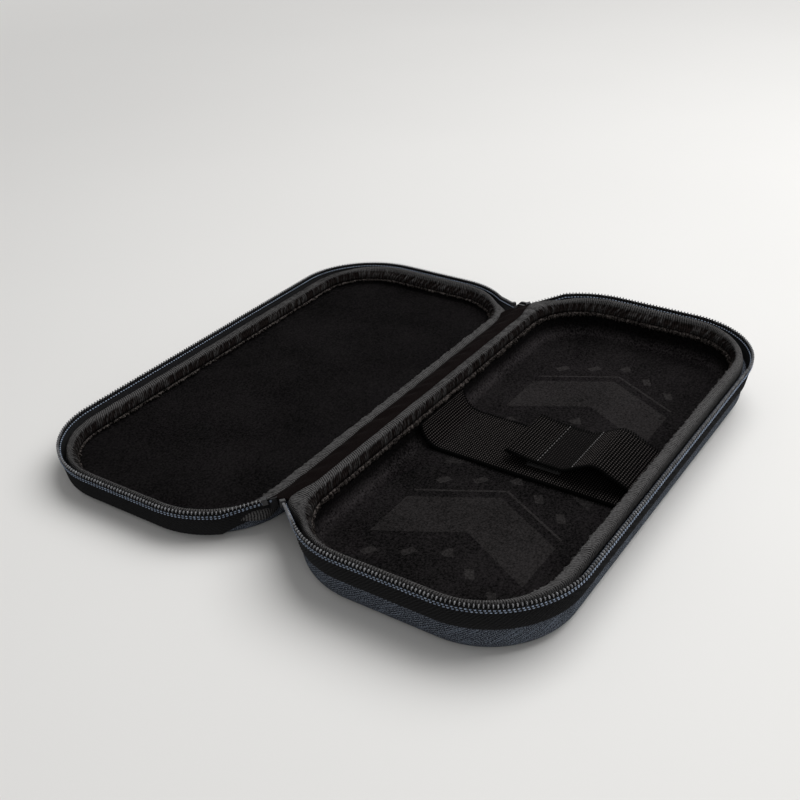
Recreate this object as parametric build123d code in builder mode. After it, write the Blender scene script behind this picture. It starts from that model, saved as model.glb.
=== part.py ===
from build123d import *
import math
import os
from types import SimpleNamespace

# A zip-up carrying case for a handheld game console, lying open flat.
# X runs along the hinge, the deep base half lies at -Y and the shallow lid half at +Y.
# The origin is on the table, under the middle of the hinge.

# Zip line: the widest line of the case, along which the two halves part
zip_length = 273.0
zip_width = 133.7
zip_corner = 45.0
hinge_gap = 9.0
closing_gap = 0.4
base_depth = 29.5
lid_depth = 18.1

# Moulded foam shells: drafted trays with a large bottom radius and thinner walls at the ends
shell_inset = 2.5
shell_wall = 5.4
shell_floor = 4.4
shell_draft = 5.7
shell_edge_drop = 8.5
base_bottom_radius = 9.5
lid_bottom_radius = 9.0
room_end_gain = 2.5
room_corner_gain = 2.0

# Plush lining, glued into the shells
lining_thickness = 1.5
glue_gap = 0.1
base_floor_radius = 8.0
lid_floor_radius = 3.0

# Padded roll on the rim, and the raw lining edge that is turned out under it
binding_inset = 3.0
binding_width = 8.0
binding_crown_drop = 2.6
binding_crown_radius = 2.4
seam_edge_width = 1.0
base_seam_height = 2.4
lid_seam_height = 1.3
sewn_gap = 0.15

# Number of flats that make up a rounded edge, where it shows and where it is hidden
seen_flat_count = 4
hidden_flat_count = 2

# Zip: a leaning tape round three sides, with a row of teeth on its top edge.
# Both ends leave the hinge corner on a tangent and slope to the hinge axis, where the tapes meet.
tape_thickness = 1.0
tape_height = 10.6
wing_turn = 40.0
wing_end_gap = 1.0
wing_end_height = 8.0
bare_end = 4.0
tooth_pitch = 2.2
tooth_length = 1.5
tooth_width = 1.8
tooth_height = 2.2
stop_length = 2.6
stop_width = 2.4
stop_height = 3.0

# Fabric strip along the hinge, hanging in a shallow curve between the shells
gusset_length = 190.0
gusset_thickness = 0.7
gusset_sag = 4.6
gusset_seat_drop = 4.6

# Slider and pull tab, parked in the notch at the far end of the zip
slider_length = 9.0
slider_width = 8.6
slider_height = 4.8
slider_corner = 2.1
slider_plate = 1.1
slider_lip = 0.9
slider_slit = 1.4
slider_drop = 7.0
slider_clearance = 0.3
crown_length = 5.4
crown_width = 2.4
crown_wire = 1.3
crown_opening = 2.4
pull_length = 13.0
pull_width = 6.4
pull_thickness = 1.4
pull_bar = 1.4
pull_eye = 3.6

# Webbing straps across the base, held together by a hook-and-loop pair
strap_thickness = 1.4
strap_clearance = 0.2
strap_bend = 11.0
long_strap_x = -1.0
long_strap_width = 42.0
long_strap_top_drop = 11.5
long_strap_front_margin = 7.0
short_strap_x = 4.5
short_strap_width = 38.0
short_strap_root_margin = 2.0
short_strap_root_height = 4.2
short_strap_hump_margin = 24.0
short_strap_hump_height = 13.6
short_strap_hump_bend = 8.0
short_strap_landing_margin = 38.5
short_strap_end_margin = 68.0
short_strap_end_lift = 1.8
short_strap_end_bend = 30.0
patch_length = 17.0
patch_thickness = 1.3
patch_side_margin = 2.0
patch_landing_margin = 2.0

# Places that follow from the sizes above
half_centre_y = (hinge_gap + zip_width) / 2
draft_slope = math.tan(math.radians(shell_draft))
shell_inner_inset = shell_inset + shell_wall
lining_inset = shell_inner_inset + glue_gap
lining_inner_inset = lining_inset + lining_thickness
tape_top_drop = tooth_height + closing_gap / 2
tape_bottom_drop = tape_top_drop + tape_height
shell_inset_at_tape = shell_inset + (tape_bottom_drop - shell_edge_drop) * draft_slope
tape_lean = shell_inset_at_tape - sewn_gap - tape_thickness / 2
corner_x = zip_length / 2 - zip_corner
corner_y = zip_width / 2 - zip_corner
axis_level = (base_depth + lid_depth) / 2
wing_sine = math.sin(math.radians(wing_turn))
wing_cosine = math.cos(math.radians(wing_turn))
wing_start_x = corner_x + zip_corner * wing_cosine
wing_start_y = corner_y + zip_corner * wing_sine
wing_end_y = (zip_width + hinge_gap) / 2 - wing_end_gap
wing_end_x = wing_start_x - (wing_end_y - wing_start_y) * wing_sine / wing_cosine

# The base is turned so that its hinge side is at local +Y, and the lid likewise
base = SimpleNamespace(
    name="base",
    plane=Plane(origin=(0, -half_centre_y, base_depth)),
    depth=base_depth,
    bottom_radius=base_bottom_radius,
    floor_radius=base_floor_radius,
    seam_height=base_seam_height,
)
lid = SimpleNamespace(
    name="lid",
    plane=Plane(origin=(0, half_centre_y, lid_depth), x_dir=(-1, 0, 0)),
    depth=lid_depth,
    bottom_radius=lid_bottom_radius,
    floor_radius=lid_floor_radius,
    seam_height=lid_seam_height,
)


def rim_outline(inset, mode=Mode.ADD):
    """Rounded rectangle that follows the zip line at an inset."""
    return RectangleRounded(
        zip_length - 2 * inset, zip_width - 2 * inset, zip_corner - inset, mode=mode
    )


def room_outline(inset, mode=Mode.ADD):
    """Rounded rectangle of the room, at an inset from the long sides: longer and squarer than the rim."""
    return RectangleRounded(
        zip_length - 2 * (inset - room_end_gain),
        zip_width - 2 * inset,
        zip_corner - room_corner_gain - inset,
        mode=mode,
    )


def quarter_round(inset, drop, outwards, downwards, start, flats):
    """Insets and drops of the flats round a centre, from a start angle on the wall to the level."""
    angles = [start + (math.pi / 2 - start) * index / flats for index in range(flats + 1)]
    return [(inset - outwards * math.cos(a), drop + downwards * math.sin(a)) for a in angles]


def stacked_block(half, outline, profile):
    """Solid with an outline that slopes from one inset and drop to the next."""
    with BuildPart() as block:
        for (inset, drop), (next_inset, next_drop) in zip(profile, profile[1:]):
            with BuildSketch(half.plane.offset(-drop)):
                outline(inset)
            slope = math.atan2(next_inset - inset, abs(next_drop - drop))
            extrude(amount=drop - next_drop, taper=math.degrees(slope))
    return block.part


def drafted_block(half, outline, inset, bottom_drop, bottom_radius, flats):
    """Solid tray form from the shell's edge down, drafted inwards, with a rounded bottom."""
    radius = min(bottom_radius, bottom_drop - shell_edge_drop - glue_gap)
    centre_drop = bottom_drop - radius
    draft = math.radians(shell_draft)
    centre_inset = inset + (centre_drop - shell_edge_drop) * draft_slope + radius / math.cos(draft)
    curve = quarter_round(centre_inset, centre_drop, radius, radius, draft, flats)
    return stacked_block(half, outline, [(inset, shell_edge_drop)] + curve)


def leaning_block(half, inset):
    """Solid inside of the zip tape's slope, from its top edge to its bottom edge."""
    with BuildPart() as block:
        with BuildSketch(half.plane.offset(-tape_top_drop)):
            rim_outline(inset)
        extrude(amount=-tape_height, taper=math.degrees(math.atan2(tape_lean, tape_height)))
    return block.part


def tape_wing(half, side):
    """End of the tape: a ruled strip from the leaning section at the corner to an upright one."""
    start = half.plane.from_local_coords((side * wing_start_x, wing_start_y, 0))
    end = half.plane.from_local_coords((side * wing_end_x, wing_end_y, axis_level - half.depth))
    corner = half.plane.from_local_coords((side * corner_x, corner_y, 0))
    outward = (start - corner).normalized()
    facing = outward.cross(Vector(0, 0, 1))
    edge = tape_thickness / 2
    with BuildPart() as wing:
        with BuildSketch(Plane(origin=start, x_dir=outward, z_dir=facing)):
            with BuildLine():
                Polyline(
                    (edge, -tape_top_drop),
                    (-edge, -tape_top_drop),
                    (-edge - tape_lean, -tape_bottom_drop),
                    (edge - tape_lean, -tape_bottom_drop),
                    close=True,
                )
            make_face()
        with BuildSketch(Plane(origin=end, x_dir=outward, z_dir=facing)):
            with Locations((0, -tape_top_drop)):
                Rectangle(tape_thickness, wing_end_height, align=(Align.CENTER, Align.MAX))
        loft(ruled=True)
    return wing.part


def zip_line(half):
    """Line of the teeth: three sides, a stretch of both hinge corners and the two sloping ends."""
    rise = axis_level - half.depth
    with BuildLine(half.plane) as line:
        Line((-wing_end_x, wing_end_y, rise), (-wing_start_x, wing_start_y, 0))
        CenterArc((-corner_x, corner_y), zip_corner, 180 - wing_turn, wing_turn)
        Line((-zip_length / 2, corner_y), (-zip_length / 2, -corner_y))
        CenterArc((-corner_x, -corner_y), zip_corner, 180, 90)
        Line((-corner_x, -zip_width / 2), (corner_x, -zip_width / 2))
        CenterArc((corner_x, -corner_y), zip_corner, 270, 90)
        Line((zip_length / 2, -corner_y), (zip_length / 2, corner_y))
        CenterArc((corner_x, corner_y), zip_corner, 0, wing_turn)
        Line((wing_start_x, wing_start_y, 0), (wing_end_x, wing_end_y, rise))
    return line.wire()


def on_zip_line(line, distance, drop):
    """Plane at a drop straight below the zip line, with X along the line and Y upright."""
    place = line.position_at(distance, position_mode=PositionMode.LENGTH)
    along = line.tangent_at(distance, position_mode=PositionMode.LENGTH)
    level_across = Vector(0, 0, 1).cross(along)
    upright = along.cross(level_across).normalized()
    return Plane(origin=place - Vector(0, 0, drop), x_dir=along, z_dir=along.cross(upright))


def finish(part, name):
    """Label a finished piece and write it out."""
    part.label = name
    export_step(part, f"parts/{name}.step")


os.makedirs("parts", exist_ok=True)

for half in (base, lid):
    # Foam shell: a drafted tray, open at the top
    lining_bottom_drop = half.depth - shell_floor
    outside = drafted_block(
        half, rim_outline, shell_inset, half.depth, half.bottom_radius, seen_flat_count
    )
    cavity_radius = half.floor_radius + lining_thickness + glue_gap
    cavity = drafted_block(
        half, room_outline, shell_inner_inset, lining_bottom_drop, cavity_radius, hidden_flat_count
    )
    with BuildPart() as shell:
        add(outside)
        add(cavity, mode=Mode.SUBTRACT)
    finish(shell.part, f"{half.name}_shell")

    # Plush lining: a thin tray that follows the cavity
    lining_radius = half.floor_radius + lining_thickness
    skin_drop = lining_bottom_drop - glue_gap
    skin = drafted_block(half, room_outline, lining_inset, skin_drop, lining_radius, hidden_flat_count)
    floor_drop = skin_drop - lining_thickness
    room = drafted_block(
        half, room_outline, lining_inner_inset, floor_drop, half.floor_radius, seen_flat_count
    )
    with BuildPart() as lining:
        add(skin)
        add(room, mode=Mode.SUBTRACT)
    finish(lining.part, f"{half.name}_lining")

    # Padded roll: rounded on top, flat where it is sewn to the shell and lining, slimmer at the ends
    foot_drop = shell_edge_drop - sewn_gap
    roll_inner_inset = binding_inset + binding_width
    end_width = binding_width - room_end_gain
    shoulder = min(binding_crown_radius, 0.44 * end_width, 0.9 * (foot_drop - binding_crown_drop))
    shoulder_drop = binding_crown_drop + shoulder
    outer_inset = binding_inset + shoulder
    inner_inset = roll_inner_inset - shoulder
    outer_side = quarter_round(outer_inset, shoulder_drop, shoulder, -shoulder, 0, seen_flat_count)
    inner_side = quarter_round(inner_inset, shoulder_drop, -shoulder, -shoulder, 0, seen_flat_count)
    with BuildPart() as binding:
        add(stacked_block(half, rim_outline, [(binding_inset, foot_drop)] + outer_side))
        inside = stacked_block(half, room_outline, [(roll_inner_inset, foot_drop)] + inner_side)
        add(inside, mode=Mode.SUBTRACT)
    finish(binding.part, f"{half.name}_binding")

    # Raw edge of the lining: a small ring on the wall, just under the roll
    seam_top_drop = shell_edge_drop + sewn_gap
    seam_bottom_drop = seam_top_drop + half.seam_height
    seam_inset = lining_inner_inset + (seam_bottom_drop - shell_edge_drop) * draft_slope + sewn_gap
    with BuildPart() as seam_edge:
        with BuildSketch(half.plane.offset(-seam_bottom_drop)):
            room_outline(seam_inset)
            room_outline(seam_inset + seam_edge_width, mode=Mode.SUBTRACT)
        extrude(amount=half.seam_height)
    finish(seam_edge.part, f"{half.name}_seam_edge")

    # Zip tape: a leaning band, cut off in the hinge corners and carried on by its sloping ends
    outer_slope = leaning_block(half, -tape_thickness / 2)
    inner_slope = leaning_block(half, tape_thickness / 2)
    wings = [tape_wing(half, side) for side in (-1, 1)]
    cut_x = corner_x + 2 * zip_corner * wing_cosine
    cut_y = corner_y + 2 * zip_corner * wing_sine
    with BuildPart() as tape:
        add(outer_slope)
        add(inner_slope, mode=Mode.SUBTRACT)
        with BuildSketch(half.plane.offset(-tape_bottom_drop)):
            with BuildLine():
                Polyline(
                    (-corner_x, corner_y),
                    (-cut_x, cut_y),
                    (cut_x, cut_y),
                    (corner_x, corner_y),
                    close=True,
                )
            make_face()
        extrude(amount=tape_height, mode=Mode.SUBTRACT)
        add(wings)
    finish(tape.part, f"{half.name}_zip_tape")

    # Teeth: ridges across the tape's top edge, evenly spaced along the zip line
    line = zip_line(half)
    teeth_start = bare_end + stop_length
    teeth_run = line.length - 2 * teeth_start
    tooth_count = int(teeth_run / tooth_pitch)
    tooth_step = teeth_run / tooth_count
    tooth_places = [
        on_zip_line(line, teeth_start + (index + 0.5) * tooth_step, tape_top_drop - sewn_gap)
        for index in range(tooth_count)
    ]
    tooth_top = tooth_height - sewn_gap
    with BuildPart() as tooth:
        with BuildSketch():
            Polygon((-tooth_length / 2, 0), (tooth_length / 2, 0), (0, tooth_top), align=None)
        extrude(amount=tooth_width / 2, both=True)
    with BuildPart() as teeth:
        with Locations(*tooth_places):
            add(tooth.part)
    finish(teeth.part, f"{half.name}_zip_teeth")

    # Stops: a clip folded over the tape at each end of the row
    stop_places = [
        on_zip_line(line, distance, tape_top_drop + stop_height - tooth_height)
        for distance in (bare_end + stop_length / 2, line.length - bare_end - stop_length / 2)
    ]
    with BuildPart() as stops:
        with BuildSketch(*stop_places):
            Rectangle(stop_length - sewn_gap, stop_height, align=(Align.CENTER, Align.MIN))
        extrude(amount=stop_width / 2, both=True)
        add(tape.part, mode=Mode.SUBTRACT)
    finish(stops.part, f"{half.name}_zip_stops")

# Levels and walls of the base's room, as the straps meet them
floor_level = shell_floor + glue_gap + lining_thickness
wall_inset_at_floor = lining_inner_inset + (base_depth - floor_level - shell_edge_drop) * draft_slope
hinge_wall_y = -hinge_gap / 2 - wall_inset_at_floor
front_wall_y = -hinge_gap / 2 - zip_width + wall_inset_at_floor
strap_level = floor_level + strap_clearance + strap_thickness / 2
long_strap_top = base_depth - long_strap_top_drop

# Long strap: down the hinge wall, round a soft bend and across the floor
with BuildPart() as strap_long:
    with BuildSketch(Plane.YZ.offset(long_strap_x)):
        with BuildLine():
            wall_line_y = hinge_wall_y - strap_clearance - strap_thickness / 2
            FilletPolyline(
                (wall_line_y, long_strap_top),
                (wall_line_y, strap_level),
                (front_wall_y + long_strap_front_margin, strap_level),
                radius=min(strap_bend, 0.98 * (long_strap_top - strap_level)),
            )
            offset(amount=strap_thickness / 2, side=Side.BOTH)
        make_face()
    extrude(amount=long_strap_width / 2, both=True)
finish(strap_long.part, "strap_long")

# Hook-and-loop pair between the straps, where the short one lies flat
loop_level = floor_level + 2 * strap_clearance + strap_thickness
hook_level = loop_level + patch_thickness + strap_clearance
landing_y = front_wall_y + short_strap_landing_margin
patch_centre_y = landing_y + patch_landing_margin + patch_length / 2
shared_left_x = max(long_strap_x - long_strap_width / 2, short_strap_x - short_strap_width / 2)
shared_right_x = min(long_strap_x + long_strap_width / 2, short_strap_x + short_strap_width / 2)
patch_x = (shared_left_x + shared_right_x) / 2
patch_width = shared_right_x - shared_left_x - 2 * patch_side_margin
for name, level in (("strap_loop_patch", loop_level), ("strap_hook_patch", hook_level)):
    with BuildPart() as patch:
        with BuildSketch(Plane.XY.offset(level)):
            with Locations((patch_x, patch_centre_y)):
                Rectangle(patch_width, patch_length)
        extrude(amount=patch_thickness)
    finish(patch.part, name)

# Short strap: from the foot of the front wall over a hump, its free end a little raised
short_strap_level = hook_level + patch_thickness + strap_clearance + strap_thickness / 2
with BuildPart() as strap_short:
    with BuildSketch(Plane.YZ.offset(short_strap_x)):
        with BuildLine():
            FilletPolyline(
                (front_wall_y + short_strap_root_margin, floor_level + short_strap_root_height),
                (front_wall_y + short_strap_hump_margin, floor_level + short_strap_hump_height),
                (landing_y, short_strap_level),
                (landing_y + patch_length, short_strap_level),
                (front_wall_y + short_strap_end_margin, short_strap_level + short_strap_end_lift),
                radius=[short_strap_hump_bend, short_strap_hump_bend, short_strap_end_bend],
            )
            offset(amount=strap_thickness / 2, side=Side.BOTH)
        make_face()
    extrude(amount=short_strap_width / 2, both=True)
finish(strap_short.part, "strap_short")

# Hinge gusset: a fabric strip from shell wall to shell wall
gusset_seat_y = hinge_gap / 2 + shell_inset - gusset_thickness / 2 - sewn_gap
gusset_base_level = base_depth - gusset_seat_drop
gusset_lid_level = lid_depth - gusset_seat_drop
with BuildPart() as hinge_gusset:
    with BuildSketch(Plane.YZ):
        with BuildLine():
            ThreePointArc(
                (-gusset_seat_y, gusset_base_level),
                (0, (gusset_base_level + gusset_lid_level) / 2 - gusset_sag),
                (gusset_seat_y, gusset_lid_level),
            )
            offset(amount=gusset_thickness / 2, side=Side.BOTH)
        make_face()
    extrude(amount=gusset_length / 2, both=True)
finish(hinge_gusset.part, "hinge_gusset")

# Slider: two lipped plates on a wedge post, upright in the notch between the tapes' far ends
notch_reach = (slider_width / 2 - wing_end_gap) * wing_sine + stop_width / 2
slider_inner_x = wing_end_x + notch_reach / wing_cosine + slider_clearance
slider_x = slider_inner_x + slider_height / 2
slider_level = axis_level - slider_drop
crown_x = slider_inner_x + slider_height + crown_opening / 2
channel_height = slider_height - 2 * slider_plate
slider_plane = Plane(origin=(slider_x, 0, slider_level), x_dir=(0, 1, 0), z_dir=(1, 0, 0))
crown_plane = Plane(origin=(crown_x, 0, slider_level), x_dir=(1, 0, 0), z_dir=(0, -1, 0))
with BuildPart() as zip_slider:
    with BuildSketch(slider_plane):
        RectangleRounded(slider_width, slider_length, slider_corner)
    extrude(amount=slider_height / 2, both=True)
    with BuildSketch(slider_plane):
        Rectangle(slider_width - 2 * slider_lip, slider_length)
    extrude(amount=channel_height / 2, both=True, mode=Mode.SUBTRACT)
    with BuildSketch(slider_plane):
        Rectangle(slider_width, slider_length)
    extrude(amount=slider_slit / 2, both=True, mode=Mode.SUBTRACT)
    with BuildSketch(slider_plane):
        with Locations((0, slider_length / 5)):
            RegularPolygon(slider_width / 5, 4)
    extrude(amount=channel_height / 2, both=True)
    with BuildSketch(crown_plane):
        Rectangle(crown_opening + 2 * crown_wire, crown_length)
        Rectangle(crown_opening, crown_length - 2 * crown_wire, mode=Mode.SUBTRACT)
        with Locations((-crown_opening / 2 - crown_wire, 0)):
            Rectangle(2 * crown_wire, crown_length, mode=Mode.SUBTRACT)
    extrude(amount=crown_width / 2, both=True)
finish(zip_slider.part, "zip_slider")

# Pull tab: a flat tongue that hangs from the crown by the bar of its eye
with BuildPart() as zip_pull:
    with BuildSketch(Plane(origin=crown_plane.origin, x_dir=(0, 1, 0), z_dir=(1, 0, 0))):
        with Locations((0, pull_bar / 2)):
            Rectangle(pull_width, pull_length, align=(Align.CENTER, Align.MAX))
        with Locations((0, -pull_bar / 2)):
            Rectangle(
                pull_width - 2 * pull_bar,
                pull_eye,
                align=(Align.CENTER, Align.MAX),
                mode=Mode.SUBTRACT,
            )
    extrude(amount=pull_thickness / 2, both=True)
    foot = zip_pull.edges().filter_by(Axis.X).group_by(Axis.Z)[0]
    fillet(foot, pull_width / 3)
finish(zip_pull.part, "zip_pull")
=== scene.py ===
import math
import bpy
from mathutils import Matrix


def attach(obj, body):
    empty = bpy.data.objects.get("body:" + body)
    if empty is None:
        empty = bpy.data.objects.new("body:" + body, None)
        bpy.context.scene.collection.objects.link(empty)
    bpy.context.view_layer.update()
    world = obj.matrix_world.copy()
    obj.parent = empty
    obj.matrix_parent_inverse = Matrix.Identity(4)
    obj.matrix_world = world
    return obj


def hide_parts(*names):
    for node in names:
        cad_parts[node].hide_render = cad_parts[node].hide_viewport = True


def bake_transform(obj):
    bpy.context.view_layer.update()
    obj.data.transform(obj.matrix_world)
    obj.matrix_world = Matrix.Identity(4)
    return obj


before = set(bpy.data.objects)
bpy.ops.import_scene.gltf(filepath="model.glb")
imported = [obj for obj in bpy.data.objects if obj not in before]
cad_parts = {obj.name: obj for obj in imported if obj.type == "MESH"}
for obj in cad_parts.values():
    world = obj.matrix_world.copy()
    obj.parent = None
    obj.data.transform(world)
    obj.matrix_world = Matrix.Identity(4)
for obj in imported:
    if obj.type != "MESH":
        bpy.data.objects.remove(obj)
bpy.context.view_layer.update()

from types import SimpleNamespace

import bmesh
import bpy
import numpy as np
from mathutils import Matrix, Vector, noise

# Shells. Each half is a sheet of closed-cell foam with a heathered polyester twill laminated to it,
# pressed hot into a tray with drafted walls and a large bottom radius. Its top edge is trimmed and
# sewn into the zip and the rim roll.
zip_length, zip_width, zip_corner = 0.2730, 0.1337, 0.0450
rim, room = (zip_length, zip_width, zip_corner), (0.2780, 0.1337, 0.0430)
hinge_gap = 0.0090
shell_edge_drop = 0.0085
draft = math.radians(5.7)
corner_x, corner_y = zip_length / 2 - zip_corner, zip_width / 2 - zip_corner
half_centre = (hinge_gap + zip_width) / 2
base = SimpleNamespace(
    name="base", turn=1, centre=-half_centre, depth=0.0295,
    bottom_radius=0.0095, floor_radius=0.0080, seam_height=0.0024,
)
lid = SimpleNamespace(
    name="lid", turn=-1, centre=half_centre, depth=0.0181,
    bottom_radius=0.0090, floor_radius=0.0030, seam_height=0.0013,
)


def ring(spacing, length, width, corner):
    """A rounded rectangle in a half's own frame, the hinge at +Y: points, outward directions, distances.

    The count of points comes from the zip line, so the rings of the rim and the room can be joined."""
    corner_count = round(zip_corner * math.pi / 2 / spacing)
    run_counts = [round(2 * run / spacing) for run in (corner_x, corner_y)]
    inner_x, inner_y = length / 2 - corner, width / 2 - corner
    points, outward, distances, distance = [], [], [], 0.0
    for index, (side_x, side_y) in enumerate(((1, 1), (-1, 1), (-1, -1), (1, -1))):
        centre = np.array([side_x * inner_x, side_y * inner_y])
        turn = np.arange(corner_count) / corner_count
        angle = (index + turn) * math.pi / 2
        facing = np.stack([np.cos(angle), np.sin(angle)], 1)
        points.append(centre + corner * facing)
        outward.append(facing)
        distances.append(distance + turn * corner * math.pi / 2)
        distance += corner * math.pi / 2
        count, run = run_counts[index % 2], 2 * (inner_x, inner_y)[index % 2]
        facing = np.array([(0, 1), (-1, 0), (0, -1), (1, 0)][index], float)
        along = np.array([-facing[1], facing[0]])
        step = np.arange(count)[:, None] / count * run
        points.append(centre + corner * facing + step * along)
        outward.append(np.repeat(facing[None], count, 0))
        distances.append(distance + step[:, 0])
        distance += run
    return np.concatenate(points), np.concatenate(outward), np.append(np.concatenate(distances), distance)


def place(half, flat, drop):
    """Points of a half's own frame, at a drop below its zip line, in the frame of the whole case."""
    drop = np.broadcast_to(drop, flat.shape[:-1])
    return np.stack(
        [half.turn * flat[..., 0], half.turn * flat[..., 1] + half.centre, half.depth - drop], -1
    )


def wall_profile(inset, bottom, radius, steps):
    """Inset and drop down a drafted wall from the shell's edge, round a radius and onto the bottom."""
    centre_drop = bottom - radius
    centre_inset = inset + (centre_drop - shell_edge_drop) * math.tan(draft) + radius / math.cos(draft)
    angle = np.linspace(draft, math.pi / 2, steps)
    curve = np.stack([centre_inset - radius * np.cos(angle), centre_drop + radius * np.sin(angle)], 1)
    wall = np.linspace((inset, shell_edge_drop), curve[0], 5)[:-1]
    return np.concatenate([wall, curve])


def skin(name, grid, along, across, closed_along=True, closed_across=False, flat_rows=()):
    """Mesh over a grid of points, with a UV map in metres; rows named flat take it straight from X and Y."""
    rows, columns = grid.shape[:2]
    flat_rows = set(flat_rows)
    faces, uv = [], []
    for i in range(rows if closed_across else rows - 1):
        below = (i + 1) % rows
        for j in range(columns if closed_along else columns - 1):
            right = (j + 1) % columns
            faces.append((i * columns + j, i * columns + right, below * columns + right, below * columns + j))
            if i in flat_rows:
                uv += [grid[i, j, :2], grid[i, right, :2], grid[below, right, :2], grid[below, j, :2]]
            else:
                uv += [(along[j], across[i]), (along[j + 1], across[i])]
                uv += [(along[j + 1], across[i + 1]), (along[j], across[i + 1])]
    mesh = bpy.data.meshes.new(name)
    mesh.from_pydata(grid.reshape(-1, 3).tolist(), [], faces)
    mesh.uv_layers.new(name="UVMap").data.foreach_set("uv", np.array(uv, float).ravel())
    build = bmesh.new()
    build.from_mesh(mesh)
    ends = [edge for edge in build.edges if edge.is_boundary]
    if ends:
        layer = build.loops.layers.uv.active
        for face in bmesh.ops.holes_fill(build, edges=ends)["faces"]:
            for loop in face.loops:
                loop[layer].uv = loop.vert.co.xy
    bmesh.ops.recalc_face_normals(build, faces=build.faces)
    for face in build.faces:
        face.smooth = True
    build.to_mesh(mesh)
    build.free()
    piece = bpy.data.objects.new(name, mesh)
    bpy.context.scene.collection.objects.link(piece)
    return piece


def tray(name, half, rings, drops, distances):
    """A closed tray over its rings, with both faces of its bottom filled by smaller rings."""
    shrink = (0.1, 0.3, 0.5, 0.7, 0.88)
    rings = [k * rings[0] for k in shrink] + rings + [k * rings[-1] for k in shrink[::-1]]
    drops = [drops[0]] * len(shrink) + drops + [drops[-1]] * len(shrink)
    grid = np.stack([place(half, outline, drop) for outline, drop in zip(rings, drops)])
    flat_rows = [*range(len(shrink)), *range(len(rings) - len(shrink) - 1, len(rings) - 1)]
    return skin(name, grid, distances, lengths(grid[:, 0]), flat_rows=flat_rows)


def lengths(points):
    """Distance along a row of points, with one more value for a closed row."""
    steps = np.linalg.norm(np.diff(points, axis=0), axis=1)
    return np.concatenate([[0.0], np.cumsum(steps), [steps.sum()]])


def mark(piece, name, values):
    """Stores one value for each point of a grid, for a material to read."""
    layer = piece.data.attributes.new(name, "FLOAT", "POINT")
    layer.data.foreach_set("value", np.asarray(values, float).ravel())


def linear(code, alpha=1.0):
    """An sRGB hex colour as the linear values that Blender's sockets take."""
    levels = [int(code[i : i + 2], 16) / 255 for i in (1, 3, 5)]
    return [v / 12.92 if v <= 0.04045 else ((v + 0.055) / 1.055) ** 2.4 for v in levels] + [alpha]


def feed(target, inputs):
    """Gives a node its inputs: linked where a socket or a node, for its first output, is given; else set."""
    for name, value in inputs.items():
        if isinstance(value, bpy.types.Node):
            value = value.outputs[0]
        if isinstance(value, bpy.types.NodeSocket):
            target.id_data.links.new(value, target.inputs[name])
        else:
            target.inputs[name].default_value = value


def node(tree, kind, settings={}, inputs={}):
    """Adds a node with its settings and inputs. The setting stops holds places and colours on a ramp."""
    added = tree.nodes.new(kind)
    for name, value in settings.items():
        if name == "stops":
            elements = added.color_ramp.elements
            for index, (position, code) in enumerate(value):
                stop = elements[index] if index < 2 else elements.new(position)
                stop.position, stop.color = position, linear(code)
        else:
            setattr(added, name, value)
    feed(added, inputs)
    return added


def new_material(name, on_surface=True):
    """A material, its node tree, its shader and places in mm: on the piece's UV map, or else in space."""
    material = bpy.data.materials.new(name)
    material.use_nodes = True
    tree = material.node_tree
    if on_surface:
        places = node(tree, "ShaderNodeUVMap", {"uv_map": "UVMap"})
    else:
        places = node(tree, "ShaderNodeTexCoord").outputs["Object"]
    place_mm = node(tree, "ShaderNodeVectorMath", {"operation": "SCALE"}, {0: places, "Scale": 1000.0})
    return material, tree, tree.nodes["Principled BSDF"], place_mm


# Laminated polyester twill: matt, dark blue-grey, with pale flecks and a few long slubs from mixed yarns.
# The real ribs are 0.5 mm apart and are drawn at 1 mm, so that they show at this picture size.
heather_twill, tree, shader, place_mm = new_material("heather_twill")
turned = node(tree, "ShaderNodeMapping", {}, {
    "Vector": place_mm, "Rotation": (0, 0, math.radians(58))})
# Lengths in materials are in mm. A wave texture at scale 1 repeats every 0.314.
rib_pitch, wave_period = 1.0, 0.314
ribs = node(tree, "ShaderNodeTexWave", {"wave_profile": "SIN"}, {
    "Vector": turned, "Scale": wave_period / rib_pitch, "Distortion": 2.2, "Detail": 2.0,
    "Detail Scale": 1.6})
flecks = node(tree, "ShaderNodeTexNoise", {"noise_dimensions": "2D"}, {
    "Vector": place_mm, "Scale": 2.1, "Detail": 3.0, "Roughness": 0.65})
slub_lines = node(tree, "ShaderNodeMapping", {}, {
    "Vector": turned, "Scale": (1 / 0.9, 1 / 18.0, 1.0)})
slubs = node(tree, "ShaderNodeTexNoise", {"noise_dimensions": "2D"}, {
    "Vector": slub_lines, "Scale": 1.0, "Detail": 2.0, "Roughness": 0.5})
slub_mask = node(tree, "ShaderNodeMapRange", {}, {
    "Value": slubs, "From Min": 0.58, "From Max": 0.74, "To Min": 0.0, "To Max": 0.6})
weave = node(tree, "ShaderNodeMath", {"operation": "MULTIPLY_ADD"}, {
    0: ribs.outputs["Fac"], 1: 0.12, 2: flecks})
yarns = node(tree, "ShaderNodeValToRGB", {
    "stops": [(0.42, "#0d0f12"), (0.72, "#747b86"), (0.56, "#272a31")]}, {"Fac": weave})
mixed = node(tree, "ShaderNodeMix", {"data_type": "RGBA"}, {
    0: slub_mask, 6: yarns, 7: linear("#68717e")})
relief = node(tree, "ShaderNodeBump", {}, {
    "Height": weave, "Strength": 0.35, "Distance": 0.0002})
feed(shader, {
    "Base Color": mixed.outputs[2], "Normal": relief, "Roughness": 0.9, "Specular IOR Level": 0.04})

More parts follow.
